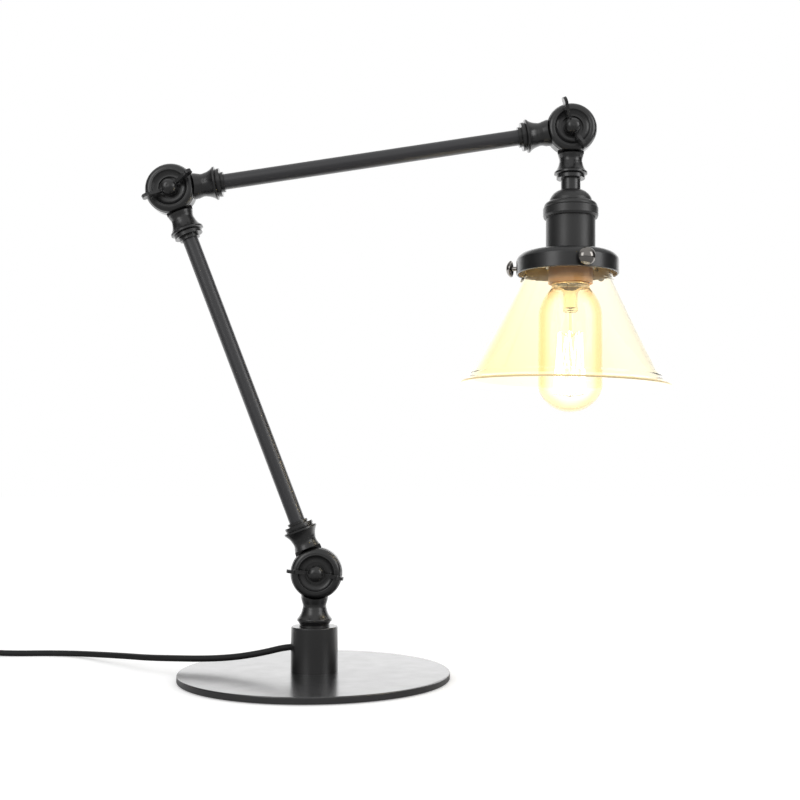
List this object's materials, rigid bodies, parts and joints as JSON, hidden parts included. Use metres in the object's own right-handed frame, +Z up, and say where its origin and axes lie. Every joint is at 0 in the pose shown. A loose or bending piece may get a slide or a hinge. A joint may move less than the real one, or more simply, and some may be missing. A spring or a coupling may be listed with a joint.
{
  "type": "adjustable table lamp",
  "caption": "Table lamp on a flat disc base, with two tube arms on clamped knuckles and a glass cone shade that hangs over a filament bulb.",
  "frame": {"origin": "centre of the underside of the base, on the table", "axes": "+Z up, +X from the post towards the shade, +Y towards the back, away from the wing screws"},
  "size_m": [0.6873, 0.2765, 0.4101],
  "materials": {
    "black_metal": "satin black lacquer",
    "socket_metal": "satin black lacquer",
    "polished_metal": "polished black nickel",
    "steel": "zinc plated",
    "brass": "nickel free brass",
    "tin": "dull tin",
    "porcelain": "white porcelain glaze",
    "pad_foam": "matt foam",
    "rubber": "matt",
    "shade_glass": "clear straw yellow glass",
    "bulb_glass": "amber tinted clear glass",
    "clear_glass": "clear glass",
    "black_glass": "black glass",
    "filament": "glowing",
    "inner_wire": "matt",
    "cord": "matt black sheath",
    "tie": "woven hook tape",
    "switch_plastic": "gloss black",
    "plug_plastic": "satin black"
  },
  "bodies": {
    "root": {"base_pad": "pad_foam", "base_plate": "black_metal", "coil_tie": "tie", "cord_bush": "rubber", "cord_coil": "cord", "cord_lead": "cord", "cord_link": "cord", "cord_tail": "cord", "plug_body": "plug_plastic", "plug_pins": "brass", "post": "black_metal", "post_knuckle": "black_metal", "post_pipe": "steel", "post_pipe_nut": "steel", "post_screws": "steel", "post_wire": "inner_wire", "switch_base": "switch_plastic", "switch_cover": "switch_plastic", "switch_screws": "steel"},
    "lower_arm": {"elbow_pivot_nut": "steel", "elbow_pivot_washer": "steel", "low_pivot_nut": "steel", "low_pivot_washer": "steel", "lower_arm_knuckle_bottom": "black_metal", "lower_arm_knuckle_top": "black_metal", "lower_arm_tube": "black_metal", "lower_arm_wire": "inner_wire"},
    "upper_arm": {"upper_arm_knuckle_left": "black_metal", "upper_arm_knuckle_right": "black_metal", "upper_arm_tube": "black_metal", "upper_arm_wire": "inner_wire"},
    "head": {"gallery": "black_metal", "gallery_clamp_ring": "steel", "head_knuckle": "black_metal", "head_pivot_nut": "steel", "head_pivot_washer": "steel", "head_stem": "black_metal", "head_wire": "inner_wire", "shade": "shade_glass", "socket_body": "socket_metal", "socket_cap": "socket_metal", "socket_contact": "brass", "socket_core": "porcelain", "socket_ring": "socket_metal", "socket_sleeve": "brass"},
    "bulb": {"bulb_cap": "brass", "bulb_contact": "tin", "bulb_filament": "filament", "bulb_glass": "bulb_glass", "bulb_insulator": "black_glass", "bulb_mount": "clear_glass", "bulb_supports": "tin"},
    "elbow_wing_screw": {"elbow_wing_screw": "black_metal"},
    "head_wing_screw": {"head_wing_screw": "black_metal"},
    "low_wing_screw": {"low_wing_screw": "black_metal"},
    "switch_rocker": {"switch_rocker": "switch_plastic"},
    "thumb_screw_1": {"thumb_screw_1": "polished_metal"},
    "thumb_screw_2": {"thumb_screw_2": "polished_metal"},
    "thumb_screw_3": {"thumb_screw_3": "polished_metal"}
  },
  "joints": [
    {"name": "lower_arm_swing", "type": "hinge", "parent": "root", "child": "lower_arm", "pos_m": [0.0014, 0, 0.0735], "axis": [0, 1, 0], "range_deg": [-53.7, 31.3]},
    {"name": "upper_arm_swing", "type": "hinge", "parent": "lower_arm", "child": "upper_arm", "pos_m": [-0.10451, 0, 0.34712], "axis": [0, 1, 0], "range_deg": [-102.6, 17.4]},
    {"name": "head_swing", "type": "hinge", "parent": "upper_arm", "child": "head", "pos_m": [0.18363, 0, 0.39126], "axis": [0, 1, 0], "range_deg": [-160, 20]},
    {"name": "low_wing_turn", "type": "hinge", "parent": "root", "child": "low_wing_screw", "pos_m": [0.0014, 0, 0.0735], "axis": [0, -1, 0], "range_deg": [0, 360]},
    {"name": "elbow_wing_turn", "type": "hinge", "parent": "upper_arm", "child": "elbow_wing_screw", "pos_m": [-0.10451, 0, 0.34712], "axis": [0, -1, 0], "range_deg": [0, 360]},
    {"name": "head_wing_turn", "type": "hinge", "parent": "upper_arm", "child": "head_wing_screw", "pos_m": [0.18363, 0, 0.39126], "axis": [0, -1, 0], "range_deg": [0, 360]},
    {"name": "thumb_turn_1", "type": "hinge", "parent": "head", "child": "thumb_screw_1", "pos_m": [0.1875, -0.03933, 0.29148], "axis": [0.1822, -0.9833, -0.0022], "range_deg": [0, 360]},
    {"name": "thumb_turn_2", "type": "hinge", "parent": "head", "child": "thumb_screw_2", "pos_m": [0.21063, 0.02598, 0.2912], "axis": [0.7603, 0.6494, -0.0093], "range_deg": [0, 360]},
    {"name": "thumb_turn_3", "type": "hinge", "parent": "head", "child": "thumb_screw_3", "pos_m": [0.14251, 0.01335, 0.29203], "axis": [-0.9426, 0.3338, 0.0115], "range_deg": [0, 360]},
    {"name": "bulb_turn", "type": "hinge", "parent": "head", "child": "bulb", "pos_m": [0.18235, 0, 0.28627], "axis": [-0.0122, 0, -0.9999], "range_deg": [0, 720]},
    {"name": "rocker_tilt", "type": "hinge", "parent": "root", "child": "switch_rocker", "pos_m": [-0.331, 0.097, 0.0135], "axis": [0, 1, 0], "range_deg": [0, 16]}
  ]
}
